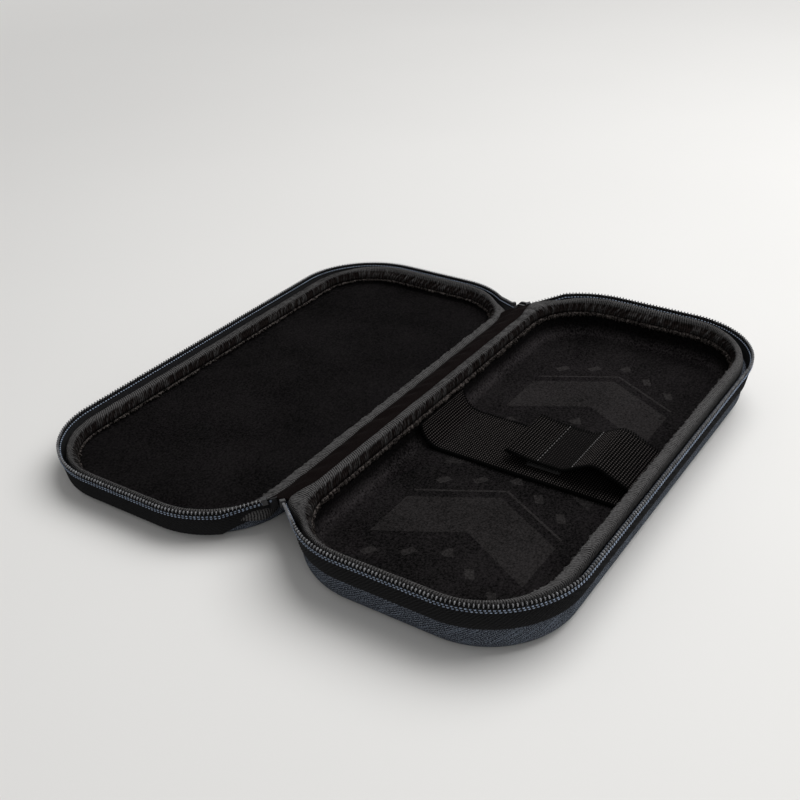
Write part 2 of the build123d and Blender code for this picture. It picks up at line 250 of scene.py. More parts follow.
shell_inset, shell_wall, shell_floor, lining_room = 0.0025, 0.0054, 0.0044, 0.0016
rim_points, rim_outward, rim_distances = ring(0.0025, *rim)
room_points, room_outward, room_distances = ring(0.0025, *room)
for half in (base, lid):
    outside = wall_profile(shell_inset, half.depth, half.bottom_radius, 12)
    inside = wall_profile(
        shell_inset + shell_wall, half.depth - shell_floor, half.floor_radius + lining_room, 6
    )
    rings = [rim_points - inset * rim_outward for inset, drop in outside[::-1]]
    rings += [room_points - inset * room_outward for inset, drop in inside]
    drops = [drop for inset, drop in outside[::-1]] + [drop for inset, drop in inside]
    shell = tray(f"{half.name}_moulded_shell", half, rings, drops, rim_distances)
    shell.data.materials.append(heather_twill)
    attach(shell, half.name)
    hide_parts(f"{half.name}_shell")

# Linings. A short-pile plush is glued into each tray and runs up to the rim. Its colour carries painted
# light and shade: darker up the walls and over the whole lid lining, lighter where the floor curves up
# into the wall. The base has a tonal print on its floor: broad chevrons a little lighter than the pile,
# a fine line beside each, and rows of small diamonds.

# Knitted plush, raised and sheared: matt black, with a soft grain that is drawn at 1 mm so that it shows.
pile, tree, shader, place_mm = new_material("plush_pile", on_surface=False)
fibres = node(tree, "ShaderNodeTexNoise", {}, {
    "Vector": place_mm, "Scale": 0.95, "Detail": 3.0, "Roughness": 0.75})
nap = node(tree, "ShaderNodeTexNoise", {}, {
    "Vector": place_mm, "Scale": 0.03, "Detail": 2.0, "Roughness": 0.5})
tone = node(tree, "ShaderNodeMath", {"operation": "MULTIPLY_ADD"}, {
    0: nap, 1: 0.3, 2: fibres})
plain = node(tree, "ShaderNodeValToRGB", {
    "stops": [(0.50, "#020202"), (0.82, "#312e2f")]}, {"Fac": tone})
printed = node(tree, "ShaderNodeValToRGB", {
    "stops": [(0.4, "#0a0909"), (0.82, "#454242")]}, {"Fac": tone})
chevron_pitch, chevron_width, chevron_slope, chevron_strength = 62.0, 30.0, 0.55, 0.7
line_offset, line_width, print_blur = 36.0, 1.1, 0.3
diamond_offset, diamond_pitch, diamond_size = 46.0, 15.0, 3.4
panel_middle, panel_reach, pattern_shift = 18.0, (102.0, 37.5), 8.0
# lid_shade is the painted shade over the whole lid lining, as a factor on its colour.
floor_level, lid_shade = 6.0, 0.28
axes = node(tree, "ShaderNodeSeparateXYZ", {}, {0: place_mm})
from_middle = node(tree, "ShaderNodeMath", {"operation": "ADD"}, {
    0: axes.outputs["Y"], 1: half_centre * 1000})
slant = node(tree, "ShaderNodeMath", {"operation": "ABSOLUTE"}, {0: from_middle})
along_case = node(tree, "ShaderNodeMath", {"operation": "ADD"}, {0: axes.outputs["X"], 1: pattern_shift})
sweep = node(tree, "ShaderNodeMath", {"operation": "MULTIPLY_ADD"}, {
    0: slant, 1: chevron_slope, 2: along_case})
phase = node(tree, "ShaderNodeMath", {"operation": "FLOORED_MODULO"}, {
    0: sweep, 1: chevron_pitch})
band = node(tree, "ShaderNodeMapRange", {}, {
    "Value": phase, "From Min": chevron_width + print_blur, "From Max": chevron_width - print_blur,
    "To Max": chevron_strength})
to_line = node(tree, "ShaderNodeMath", {"operation": "SUBTRACT"}, {0: phase, 1: line_offset})
line_gap = node(tree, "ShaderNodeMath", {"operation": "ABSOLUTE"}, {0: to_line})
line = node(tree, "ShaderNodeMapRange", {}, {
    "Value": line_gap, "From Min": line_width / 2 + print_blur, "From Max": line_width / 2})
to_row = node(tree, "ShaderNodeMath", {"operation": "SUBTRACT"}, {0: phase, 1: diamond_offset})
row_gap = node(tree, "ShaderNodeMath", {"operation": "ABSOLUTE"}, {0: to_row})
along_row = node(tree, "ShaderNodeMath", {"operation": "PINGPONG"}, {
    0: from_middle, 1: diamond_pitch / 2})
diamond_reach = node(tree, "ShaderNodeMath", {"operation": "ADD"}, {
    0: row_gap, 1: along_row})
diamond = node(tree, "ShaderNodeMapRange", {}, {
    "Value": diamond_reach, "From Min": diamond_size + print_blur, "From Max": diamond_size})
marks = node(tree, "ShaderNodeMath", {"operation": "MAXIMUM"}, {0: line, 1: diamond})
motif = node(tree, "ShaderNodeMath", {"operation": "MAXIMUM"}, {0: band, 1: marks})
on_floor = node(tree, "ShaderNodeMapRange", {}, {
    "Value": axes.outputs["Z"], "From Min": floor_level + 0.5, "From Max": floor_level + 0.2})
in_base = node(tree, "ShaderNodeMath", {"operation": "LESS_THAN"}, {0: axes.outputs["Y"], 1: 0.0})
along_panel = node(tree, "ShaderNodeMath", {"operation": "SUBTRACT"}, {0: sweep, 1: panel_middle})
from_end = node(tree, "ShaderNodeMath", {"operation": "ABSOLUTE"}, {0: along_panel})
within_ends = node(tree, "ShaderNodeMath", {"operation": "LESS_THAN"}, {0: from_end, 1: panel_reach[0]})
within_sides = node(tree, "ShaderNodeMath", {"operation": "LESS_THAN"}, {0: slant, 1: panel_reach[1]})
panel = node(tree, "ShaderNodeMath", {"operation": "MULTIPLY"}, {
    0: within_ends, 1: within_sides})
level_panel = node(tree, "ShaderNodeMath", {"operation": "MULTIPLY"}, {0: panel, 1: on_floor})
where = node(tree, "ShaderNodeMath", {"operation": "MULTIPLY"}, {0: level_panel, 1: in_base})
print_mask = node(tree, "ShaderNodeMath", {"operation": "MULTIPLY"}, {0: motif, 1: where})
mixed = node(tree, "ShaderNodeMix", {"data_type": "RGBA"}, {
    0: print_mask, 6: plain, 7: printed})
# Painted light and shade by height: the pile's colour is at 0.45 on the floor, full where the floor curves
# into the wall and 0.26 up the walls; the lid lining is held at lid_shade.
height = node(tree, "ShaderNodeMapRange", {}, {
    "Value": axes.outputs["Z"], "From Min": floor_level, "From Max": floor_level + 10.0})
wall_light_and_shade = node(tree, "ShaderNodeValToRGB", {}, {"Fac": height})
wall_light_and_shade.color_ramp.elements[0].color, wall_light_and_shade.color_ramp.elements[0].position = (0.45, 0.45, 0.45, 1), 0.04
wall_light_and_shade.color_ramp.elements[1].color, wall_light_and_shade.color_ramp.elements[1].position = (0.26, 0.26, 0.26, 1), 0.75
wall_light_and_shade.color_ramp.elements.new(0.24).color = (1, 1, 1, 1)
shade = node(tree, "ShaderNodeMix", {"data_type": "FLOAT"}, {
    0: in_base, 2: lid_shade, 3: wall_light_and_shade})
pile_with_painted_shade = node(tree, "ShaderNodeVectorMath", {"operation": "SCALE"}, {
    0: mixed.outputs[2], "Scale": shade})
relief = node(tree, "ShaderNodeBump", {}, {
    "Height": fibres, "Strength": 0.55, "Distance": 0.0004})
feed(shader, {"Base Color": pile_with_painted_shade, "Normal": relief, "Roughness": 0.95, "Specular IOR Level": 0.025})

lining_inset, lining_thickness, glue_gap = 0.0080, 0.0015, 0.0001
for half in (base, lid):
    radius = half.floor_radius
    floor_drop = half.depth - shell_floor - glue_gap - lining_thickness
    face = wall_profile(lining_inset + lining_thickness, floor_drop, radius, 12)
    back = wall_profile(lining_inset, floor_drop + lining_thickness, radius + lining_thickness, 8)
    profile = np.concatenate([back[::-1], face])
    rings = [room_points - inset * room_outward for inset, drop in profile]
    drops = [drop for inset, drop in profile]
    lining = tray(f"{half.name}_plush_lining", half, rings, drops, room_distances)
    lining.data.materials.append(pile)
    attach(lining, half.name)
    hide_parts(f"{half.name}_lining")

# Seam edges. The raw edge of the lining is turned out below the rim roll and frays there, so it shows
# as a thin uneven beige-grey line of cut threads on the wall.

# Cut threads of the lining: matt, mottled in small patches from dark brown-black to beige-grey.
frayed, tree, shader, place_mm = new_material("cut_threads", on_surface=False)
threads = node(tree, "ShaderNodeTexNoise", {}, {
    "Vector": place_mm, "Scale": 0.9, "Detail": 4.0, "Roughness": 0.8})
shades = node(tree, "ShaderNodeValToRGB", {
    "stops": [(0.44, "#060505"), (0.66, "#5c5653")]}, {"Fac": threads})
relief = node(tree, "ShaderNodeBump", {}, {"Height": threads, "Strength": 0.8, "Distance": 0.0004})
feed(shader, {"Base Color": shades, "Normal": relief, "Roughness": 0.95, "Specular IOR Level": 0.025})



def wandering(points, length, layer):
    """Smooth noise from -1 to 1 at each point of a flat row, for bumps of a length, from one layer of it."""
    return np.array([noise.noise(Vector((x / length, y / length, layer))) for x, y in points])


seam_inset, seam_width, seam_top = 0.0099, 0.0010, 0.00865
tuft_length, whisker_length, droop_length = 0.0012, 0.0006, 0.005
fine_points, fine_outward, fine_distances = ring(0.0004, *room)
for half in (base, lid):
    fray = wandering(fine_points, tuft_length, half.turn)
    fray += 0.7 * wandering(fine_points, whisker_length, 3.0 * half.turn)
    droop = wandering(fine_points, droop_length, 7.0 + half.turn)
    grid = []
    for angle in np.linspace(0, 2 * math.pi, 10, endpoint=False):
        ragged, inner = max(math.sin(angle), 0.0), max(math.cos(angle), 0.0)
        height = half.seam_height / 2 * (1.0 + ragged * (0.3 + 1.3 * fray + 0.5 * droop))
        inset = seam_inset + seam_width / 2 * (1 + math.cos(angle)) + inner * seam_width * (0.6 + 1.5 * fray)
        drop = seam_top + half.seam_height / 2 + height * math.sin(angle)
        grid.append(place(half, fine_points - inset[:, None] * fine_outward, drop))
    grid = np.array(grid)
    seam = skin(f"{half.name}_frayed_edge", grid, fine_distances, lengths(grid[:, 0]), closed_across=True)
    seam.data.materials.append(frayed)
    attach(seam, half.name)
    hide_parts(f"{half.name}_seam_edge")

# Rim rolls. A strip of charcoal rib-knit is wrapped round a flat foam cord and sewn along the rim. Its
# top is smooth and full, and its inner side is drawn into gathers where the needle pulls it to the lining,
# with painted shade in their folds. The roll is slimmer on the two short sides.

# Polyester rib-knit: matt charcoal. Its wales are about 0.8 mm apart and are drawn at 1.25 mm to show.
rib_knit, tree, shader, place_mm = new_material("rib_knit")
wale_pitch = 1.25
wales = node(tree, "ShaderNodeTexWave", {"wave_profile": "SIN"}, {
    "Vector": place_mm, "Scale": wave_period / wale_pitch, "Distortion": 1.2, "Detail": 1.0,
    "Detail Scale": 0.8})
fluff = node(tree, "ShaderNodeTexNoise", {"noise_dimensions": "2D"}, {
    "Vector": place_mm, "Scale": 1.3, "Detail": 3.0, "Roughness": 0.7})
knit = node(tree, "ShaderNodeMath", {"operation": "MULTIPLY_ADD"}, {
    0: wales.outputs["Fac"], 1: 0.4, 2: fluff})
shades = node(tree, "ShaderNodeValToRGB", {
    "stops": [(0.46, "#0c0b0b"), (0.94, "#545353")]}, {"Fac": knit})
# Painted shade, partly real: the mark read here darkens the roll's inner side, most in the valleys between
# the folds of its gathers; the brown tint is the darker lining cloth sewn there.
fold_shade_attribute = node(tree, "ShaderNodeAttribute", {"attribute_name": "gather_shade"})
fold_shaded = node(tree, "ShaderNodeMix", {"data_type": "RGBA", "blend_type": "MULTIPLY"}, {
    0: fold_shade_attribute.outputs["Fac"], 6: shades, 7: linear("#5e504c")})
relief = node(tree, "ShaderNodeBump", {}, {"Height": fluff, "Strength": 0.4, "Distance": 0.00025})
feed(shader, {
    "Base Color": fold_shaded.outputs[2], "Normal": relief, "Roughness": 0.85, "Specular IOR Level": 0.04})

outer_inset, inner_inset, roll_foot = (0.0046, 0.0023), 0.0110, 0.00835
wing_turn = math.radians(40)
crown_height, roll_fullness = 0.00575, 3.6
end_steps = (0.0, 0.10, 0.22, 0.34, 0.46, 0.85, 1.0)
end_shares = (0.0, 0.0, 0.06, 0.20, 0.38, 0.97, 1.0)
end_heights = (0.0, 0.0042, 0.0061, 0.0067, 0.0062, 0.0021, 0.0)
wale_depth, wander_length, rumple_depth, rumple_length = 0.00010, 0.004, 0.00020, 0.009
gather_pitch, gather_depth, gather_slant, corner_swell = 0.0015, 0.0010, 0.0016, 0.0025
edge_points, edge_outward, roll_distances = ring(0.0003, *rim)
wall_points, wall_outward, _ = ring(0.0003, *room)
at_end = edge_outward[:, 0] ** 2
toward_hinge = np.maximum(np.arctan2(edge_outward[:, 1], abs(edge_outward[:, 0])) - wing_turn, 0.0)
to_wing = 1 / np.cos(toward_hinge) - 1
to_hinge_side = 1 / np.maximum(edge_outward[:, 1], 0.1) - 1
corner_fill = zip_corner * ((to_wing + 1e-6) ** -3 + (to_hinge_side + 1e-6) ** -3) ** (-1 / 3)
corner_fill += corner_swell * np.sin(math.pi * toward_hinge / (math.pi / 2 - wing_turn)) ** 2
outer_line = edge_points - (np.interp(at_end, (0, 1), outer_inset) - corner_fill)[:, None] * edge_outward
edge_along = np.stack([-edge_outward[:, 1], edge_outward[:, 0]], 1)
inner_line = wall_points - inner_inset * wall_outward
for half in (base, lid):
    wander = wandering(edge_points, wander_length, 9.0 * half.turn)
    ribs = np.cos(2 * math.pi * (roll_distances[:-1] / (wale_pitch / 1000) + 0.4 * wander))
    grid, gather_shade = [], []
    for step in np.linspace(0, 1, 27):
        angle = math.pi * (1 - step)
        across = math.copysign(abs(math.cos(angle)) ** (2 / roll_fullness), math.cos(angle))
        above = abs(math.sin(angle)) ** (2 / roll_fullness)
        pulled = np.clip((across - 0.35) / 0.55 + at_end * (step - 0.45) / 0.2, 0.0, 1.0) * (1 - step**12)
        creased = np.clip((across - 0.55) / 0.3 + at_end * (step - 0.5) / 0.15, 0.0, 1.0)
        slanted = edge_points + gather_slant * angle * edge_along
        folds = wandering(slanted, gather_pitch, 0.8 * angle + half.turn)
        rumple = wandering(edge_points, rumple_length, angle + 5 * half.turn)
        swell = math.sin(angle) * (rumple_depth * rumple + wale_depth * (ribs - 1))
        swell = swell + pulled * gather_depth * (folds - 0.45)
        share = (1 + across) / 2 + at_end * (np.interp(step, end_steps, end_shares) - (1 + across) / 2)
        flat = outer_line + share[:, None] * (inner_line - outer_line)
        flat = flat - (swell * across)[:, None] * edge_outward
        height = crown_height * above
        height = height + at_end * (np.interp(step, end_steps, end_heights) - height)
        grid.append(place(half, flat, roll_foot - height - swell * above))
        # Painted shade: darker on the roll's inner side and in the valleys between the folds.
        gather_shade.append(np.clip(creased * (0.9 - 0.9 * folds), 0.0, 1.0))
    grid = np.array(grid)
    roll = skin(f"{half.name}_rim_roll", grid, roll_distances, lengths(grid[:, 0]), closed_across=True)
    mark(roll, "gather_shade", gather_shade)
    roll.data.materials.append(rib_knit)
    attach(roll, half.name)
    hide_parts(f"{half.name}_binding")

# Zip tapes. A woven twill tape leans out from the shell round three sides. At both hinge corners it
# leaves the rim on a tangent and slopes to the hinge axis, where the tapes of both halves meet.
tape_top, tape_height, tape_thickness, tape_lean = 0.0012, 0.0132, 0.0010, 0.0025
wing_end_gap, wing_end_height, wing_tuck = 0.0010, 0.0092, 0.0065
hinge_level = (base.depth + lid.depth) / 2
wing_length = (
    (zip_width + hinge_gap) / 2 - wing_end_gap - corner_y - zip_corner * math.sin(wing_turn)
) / math.cos(wing_turn)


def zip_line(spacing):
    """The zip line from the hinge round three sides to the hinge: points, outward, share of the end slope."""
    points, outward, wing = [], [], []
    facing = np.array([math.cos(wing_turn), math.sin(wing_turn)])
    away = np.array([-facing[1], facing[0]])
    leave = np.array([corner_x, corner_y]) + zip_corner * facing
    share = np.linspace(1, 0, round(wing_length / spacing), endpoint=False)[:, None]
    points.append(leave + share * wing_length * away)
    outward.append(np.repeat(facing[None], len(share), 0))
    wing.append(share[:, 0])
    stretches = [(corner_x, corner_y, wing_turn, 0), (corner_x, -corner_y, 0, -math.pi / 2)]
    stretches += [(-corner_x, -corner_y, -math.pi / 2, -math.pi)]
    stretches += [(-corner_x, corner_y, -math.pi, -wing_turn - math.pi)]
    for index, (x, y, start, end) in enumerate(stretches):
        angle = np.linspace(start, end, round(abs(start - end) * zip_corner / spacing), endpoint=False)
        facing = np.stack([np.cos(angle), np.sin(angle)], 1)
        points.append(np.array([x, y]) + zip_corner * facing)
        outward.append(facing)
        wing.append(np.zeros(len(angle)))
        if index < 3:
            facing = np.array([math.cos(end), math.sin(end)])
            here = np.array([x, y]) + zip_corner * facing
            there = np.array(stretches[index + 1][:2]) + zip_corner * facing
            step = np.linspace(0, 1, round(np.linalg.norm(there - here) / spacing), endpoint=False)[:, None]
            points.append(here + step * (there - here))
            outward.append(np.repeat(facing[None], len(step), 0))
            wing.append(np.zeros(len(step)))
    facing = np.array([-math.cos(wing_turn), math.sin(wing_turn)])
    away = np.array([facing[1], -facing[0]])
    leave = np.array([-corner_x, corner_y]) + zip_corner * facing
    share = np.linspace(0, 1, round(wing_length / spacing))[:, None]
    points.append(leave + share * wing_length * away)
    outward.append(np.repeat(facing[None], len(share), 0))
    wing.append(share[:, 0])
    return np.concatenate(points), np.concatenate(outward), np.concatenate(wing)


def on_tape(half, line, down, proud):
    """Points on the tape's slope, a share of its height down from its top edge and proud of its middle."""
    points, outward, wing = line
    height = tape_height + (wing_end_height - tape_height) * wing
    lean = (tape_lean + (wing_tuck - tape_lean) * wing) * down
    slope = (hinge_level - half.depth) * wing
    return place(half, points + (proud - lean)[:, None] * outward, tape_top + height * down - slope)


# Polyester twill tape: dull black, with fine slanted yarns drawn at 0.6 mm and paler cut ends. Its colour
# has painted shade in the rib grooves and in a band under the teeth.
woven_tape, tree, shader, place_mm = new_material("woven_tape")
yarn = node(tree, "ShaderNodeTexNoise", {"noise_dimensions": "2D"}, {
    "Vector": place_mm, "Scale": 1.8, "Detail": 4.0, "Roughness": 0.7})
turned = node(tree, "ShaderNodeMapping", {}, {
    "Vector": place_mm, "Rotation": (0, 0, math.radians(61))})
twill_pitch = 0.6
fine_twill = node(tree, "ShaderNodeTexWave", {"wave_profile": "SIN"}, {
    "Vector": turned, "Scale": wave_period / twill_pitch, "Distortion": 1.0, "Detail": 1.0})
weave = node(tree, "ShaderNodeMath", {"operation": "MULTIPLY_ADD"}, {
    0: fine_twill.outputs["Fac"], 1: 0.3, 2: yarn})
shades = node(tree, "ShaderNodeValToRGB", {
    "stops": [(0.4, "#0e0e0f"), (0.95, "#2a2a2b")]}, {"Fac": weave})
# Painted shade: the mark read here darkens the rib grooves and a band under the teeth at the top fold.
tape_shade_attribute = node(tree, "ShaderNodeAttribute", {"attribute_name": "tape_shade"})
ribbed = node(tree, "ShaderNodeMix", {"data_type": "RGBA"}, {
    0: tape_shade_attribute.outputs["Fac"], 6: shades, 7: linear("#050505")})
cut = node(tree, "ShaderNodeAttribute", {"attribute_name": "cut_end"})
ended = node(tree, "ShaderNodeMix", {"data_type": "RGBA"}, {
    0: cut.outputs["Fac"], 6: ribbed.outputs[2], 7: linear("#2a2a2b")})
relief = node(tree, "ShaderNodeBump", {}, {"Height": weave, "Strength": 0.4, "Distance": 0.0002})
feed(shader, {
    "Base Color": ended.outputs[2], "Normal": relief, "Roughness": 0.8, "Specular IOR Level": 0.04})

rib_run, rib_rise, rib_depth, rib_start, rib_fade = 0.0020, 0.0019, 0.00026, 0.0028, 0.0008
fold_shade_height, edge_round, cut_length, cut_blur = 0.0012, 0.0009, 0.0035, 0.0006
front_rows, back_rows = 38, 6
tape_line = zip_line(0.0005)
for half in (base, lid):
    down = np.concatenate([np.linspace(0, 1, front_rows), [1.0], np.linspace(1, 0, back_rows), [0.0]])
    proud = np.concatenate([np.full(front_rows, 1.0), [0.0], np.full(back_rows, -1.0), [0.0]])
    proud = proud * tape_thickness / 2
    along = lengths(on_tape(half, tape_line, np.zeros(len(tape_line[2])), 0.0))
    to_end = np.minimum(along[:-1], along[-1] - along[:-1])
    cut_end = np.clip((cut_length - to_end) / cut_blur, 0.0, 1.0)
    grid, tape_shade = [], []
    for row, (share, out) in enumerate(zip(down, proud)):
        depth = np.full(len(along) - 1, out)
        edge = min(share, 1 - share) * tape_height
        # Painted shade under the teeth at the top fold, and in the rib grooves below.
        shade = np.full(len(depth), max(1.2 - share * tape_height / fold_shade_height, 0.0))
        if row < front_rows:
            phase = 2 * math.pi * (along[:-1] / rib_run * half.turn - share * tape_height / rib_rise)
            ribbed = min(max((share * tape_height - rib_start) / rib_fade, 0.0), 1.0) * (1.2 - 0.7 * share)
            depth = depth + ribbed * rib_depth * (np.cos(phase) - 1)
            shade = np.maximum(shade, 0.35 * ribbed * (1 - np.cos(phase)))
        tape_shade.append(shade)
        depth = depth * min(1.0, 0.55 + edge / edge_round)
        grid.append(on_tape(half, tape_line, np.full(len(depth), share), depth))
    grid = np.array(grid)
    tape = skin(
        f"{half.name}_twill_tape", grid, along, lengths(grid[:, 0]), closed_along=False, closed_across=True
    )
    mark(tape, "tape_shade", tape_shade)
    mark(tape, "cut_end", np.repeat(cut_end[None], len(tape_shade), 0))
    tape.data.materials.append(woven_tape)
    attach(tape, half.name)
    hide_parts(f"{half.name}_zip_tape")

# Zip teeth. A row of moulded teeth stands on the top edge of each tape; they are mid grey and a
# little rubbed, with dark gaps between them.

# Moulded acetal: smooth, mid grey, with a low sheen. Real teeth are 1.5 mm apart, these 1.8 mm to show.
tooth_plastic, tree, shader, place_mm = new_material("acetal_tooth", on_surface=False)
grime = node(tree, "ShaderNodeTexNoise", {}, {
    "Vector": place_mm, "Scale": 0.35, "Detail": 3.0, "Roughness": 0.6})
shades = node(tree, "ShaderNodeValToRGB", {
    "stops": [(0.35, "#454547"), (0.7, "#808184")]}, {"Fac": grime})
feed(shader, {"Base Color": shades, "Roughness": 0.42, "IOR": 1.48})


def spaced_row(name):
    """Geometry Nodes tree: a rounded block repeated at a spacing along a line, square to it and upright."""
    tree = bpy.data.node_groups.new(name, "GeometryNodeTree")
    tree.interface.new_socket("Geometry", in_out="INPUT", socket_type="NodeSocketGeometry")
    for socket in ("Spacing", "Start", "End"):
        tree.interface.new_socket(socket, in_out="INPUT", socket_type="NodeSocketFloat")
    tree.interface.new_socket("Size", in_out="INPUT", socket_type="NodeSocketVector")
    tree.interface.new_socket("Crease", in_out="INPUT", socket_type="NodeSocketFloat")
    tree.interface.new_socket("Finish", in_out="INPUT", socket_type="NodeSocketMaterial")
    tree.interface.new_socket("Geometry", in_out="OUTPUT", socket_type="NodeSocketGeometry")
    given = node(tree, "NodeGroupInput").outputs
    run = node(tree, "GeometryNodeTrimCurve", {"mode": "LENGTH"}, {
        0: given["Geometry"], 4: given["Start"], 5: given["End"]})
    spots = node(tree, "GeometryNodeCurveToPoints", {"mode": "LENGTH"}, {
        "Curve": run, "Length": given["Spacing"]})
    turn = node(tree, "FunctionNodeAxesToRotation", {"primary_axis": "X", "secondary_axis": "Z"}, {
        0: spots.outputs["Tangent"], 1: (0, 0, 1)})
    block = node(tree, "GeometryNodeMeshCube", {}, {"Size": given["Size"]})
    rounded = node(tree, "GeometryNodeSubdivisionSurface", {}, {
        "Mesh": block, "Level": 1, "Edge Crease": given["Crease"]})
    row = node(tree, "GeometryNodeInstanceOnPoints", {}, {
        "Points": spots.outputs["Points"], "Instance": rounded, "Rotation": turn})
    joined = node(tree, "GeometryNodeRealizeInstances", {}, {0: row})
    finished = node(tree, "GeometryNodeSetMaterial", {}, {0: joined, "Material": given["Finish"]})
    node(tree, "NodeGroupOutput", {}, {0: finished})
    return tree


def repeat_along(name, points, finish, values):
    """Runs the row tree along a line of points and keeps the result as a plain mesh."""
    curve = bpy.data.curves.new(name + "_line", "CURVE")
    curve.dimensions = "3D"
    spline = curve.splines.new("POLY")
    spline.points.add(len(points) - 1)
    spline.points.foreach_set("co", np.append(points, np.ones((len(points), 1)), 1).ravel())
    carrier = bpy.data.objects.new(name + "_line", curve)
    bpy.context.scene.collection.objects.link(carrier)
    modifier = carrier.modifiers.new("row", "NODES")
    modifier.node_group = row_tree
    for item in row_tree.interface.items_tree:
        if item.in_out == "INPUT" and item.name in values:
            modifier[item.identifier] = values[item.name]
        elif item.in_out == "INPUT" and item.name == "Finish":
            modifier[item.identifier] = finish
    graph = bpy.context.evaluated_depsgraph_get()
    mesh = bpy.data.meshes.new_from_object(carrier.evaluated_get(graph))
    mesh.name = name
    for polygon in mesh.polygons:
        polygon.use_smooth = True
    bpy.data.objects.remove(carrier)
    bpy.data.curves.remove(curve)
    piece = bpy.data.objects.new(name, mesh)
    bpy.context.scene.collection.objects.link(piece)
    return piece


def refinish(name, finish):
    """Gives a CAD node's mesh a finish of its own."""
    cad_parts[name].data.materials.clear()
    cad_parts[name].data.materials.append(finish)


# The stops are of the same plastic in black.
stop_plastic = tooth_plastic.copy()
stop_plastic.name = "black_acetal_stop"
stop_ramp = stop_plastic.node_tree.nodes[shades.name].color_ramp
stop_ramp.elements[0].color, stop_ramp.elements[1].color = linear("#101011"), linear("#29292b")
row_tree = spaced_row("spaced_row")
tooth_size, tooth_drop = (0.0006, 0.0013, 0.0014), 0.00105
tooth_pitch, bare_end, stop_length = 0.0018, 0.0040, 0.0026
for half in (base, lid):
    points, _, wing = zip_line(0.001)
    slope = (hinge_level - half.depth) * wing
    middle = place(half, points, tooth_drop - slope)
    run = lengths(middle)[-1]
    first = bare_end + stop_length + tooth_pitch / 2
    teeth = repeat_along(f"{half.name}_tooth_row", middle, tooth_plastic, {
        "Spacing": tooth_pitch, "Start": first, "End": run - first, "Size": tooth_size, "Crease": 0.55})
    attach(teeth, half.name)
    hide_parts(f"{half.name}_zip_teeth")
    refinish(f"{half.name}_zip_stops", stop_plastic)

# Tape stitching. Two rows of blue-grey thread hold the tape's top fold, side by side from a twin
# needle, a few millimetres below the teeth; they show on both faces of the tape.

# Spun polyester thread: pale blue-grey and matt.
thread, tree, shader, place_mm = new_material("polyester_thread", on_surface=False)
twist = node(tree, "ShaderNodeTexNoise", {}, {
    "Vector": place_mm, "Scale": 1.2, "Detail": 2.0, "Roughness": 0.6})
shades = node(tree, "ShaderNodeValToRGB", {
    "stops": [(0.3, "#566275"), (0.75, "#98a5b8")]}, {"Fac": twist})
feed(shader, {"Base Color": shades, "Roughness": 0.6})

stitch_pitch, stitch_size, stitch_proud, stitch_margin = 0.0018, (0.0014, 0.0008, 0.0006), 0.0001, 0.003
stitch_rows = {"upper_outside": (0.0016, 1), "lower_outside": (0.0028, 1), "inside": (0.0016, -1)}
for half in (base, lid):
    line = zip_line(0.001)
    for row, (fall, face) in stitch_rows.items():
        count = len(line[2])
        proud = np.full(count, face * (tape_thickness / 2 + stitch_proud))
        points = on_tape(half, line, np.full(count, fall / tape_height), proud)
        stitches = repeat_along(f"{half.name}_stitches_{row}", points, thread, {
            "Spacing": stitch_pitch, "Start": stitch_margin, "End": lengths(points)[-1] - stitch_margin,
            "Size": stitch_size, "Crease": 0.1})
        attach(stitches, half.name)

# Straps. Two lengths of black ribbed webbing cross the base: the long one comes down the hinge wall
# and lies on the floor, the short one starts at the front wall, humps up and lies on a hook-and-loop
# pair on the long one. Two rows of stitches hold the hook tape under the short strap.


def bent_path(points, radii, step):
    """A line of straight runs and arcs in Y and Z, as evenly spaced points and their upward directions."""
    points = [np.array(point) for point in points]
    traced = [points[0]]
    for before, here, after, radius in zip(points, points[1:], points[2:], radii):
        into = (here - before) / np.linalg.norm(here - before)
        out = (after - here) / np.linalg.norm(after - here)
        turn = math.atan2(into[0] * out[1] - into[1] * out[0], into @ out)
        reach = radius * math.tan(abs(turn) / 2)
        centre = here - reach * into + math.copysign(radius, turn) * np.array([-into[1], into[0]])
        spoke = here - reach * into - centre
        for share in np.linspace(0, 1, 24):
            c, s = math.cos(turn * share), math.sin(turn * share)
            traced.append(centre + np.array([c * spoke[0] - s * spoke[1], s * spoke[0] + c * spoke[1]]))
    traced.append(points[-1])
    traced = np.array(traced)
    distance = lengths(traced)[:-1]
    even = np.linspace(0, distance[-1], round(distance[-1] / step))
    line = np.stack([np.interp(even, distance, traced[:, k]) for k in (0, 1)], 1)
    along = np.gradient(line, axis=0)
    along /= np.linalg.norm(along, axis=1)[:, None]
    return even, line, np.stack([-along[:, 1], along[:, 0]], 1)


# Ribbed polypropylene webbing: dull black with pale cells on its ribs, which are drawn at 1.35 mm to show.
# Its colour has painted light on the rib crests, painted shade between the ribs and a painted shadow along
# both edges.
webbing, tree, shader, place_mm = new_material("ribbed_webbing")
rib_pitch, cell_pitch = 1.35, 1.5
# Painted light and shade: this wave follows the ribs of the mesh, so the colour is lighter on their crests
# and black between them; it also drives the bump.
rib_relief_and_light = node(tree, "ShaderNodeTexWave", {"wave_profile": "SIN", "bands_direction": "Y"}, {
    "Vector": place_mm, "Scale": wave_period / rib_pitch, "Distortion": 0.3})
cells = node(tree, "ShaderNodeTexWave", {"wave_profile": "SIN"}, {
    "Vector": place_mm, "Scale": wave_period / cell_pitch, "Distortion": 0.6})
lint = node(tree, "ShaderNodeTexNoise", {"noise_dimensions": "2D"}, {
    "Vector": place_mm, "Scale": 1.2, "Detail": 3.0, "Roughness": 0.7})
cell_share = node(tree, "ShaderNodeMapRange", {}, {
    "Value": cells.outputs["Fac"], "From Min": 0.1, "From Max": 0.7, "To Min": 0.1, "To Max": 1.0})
ribbed = node(tree, "ShaderNodeMath", {"operation": "MULTIPLY"}, {
    0: rib_relief_and_light.outputs["Fac"], 1: cell_share})
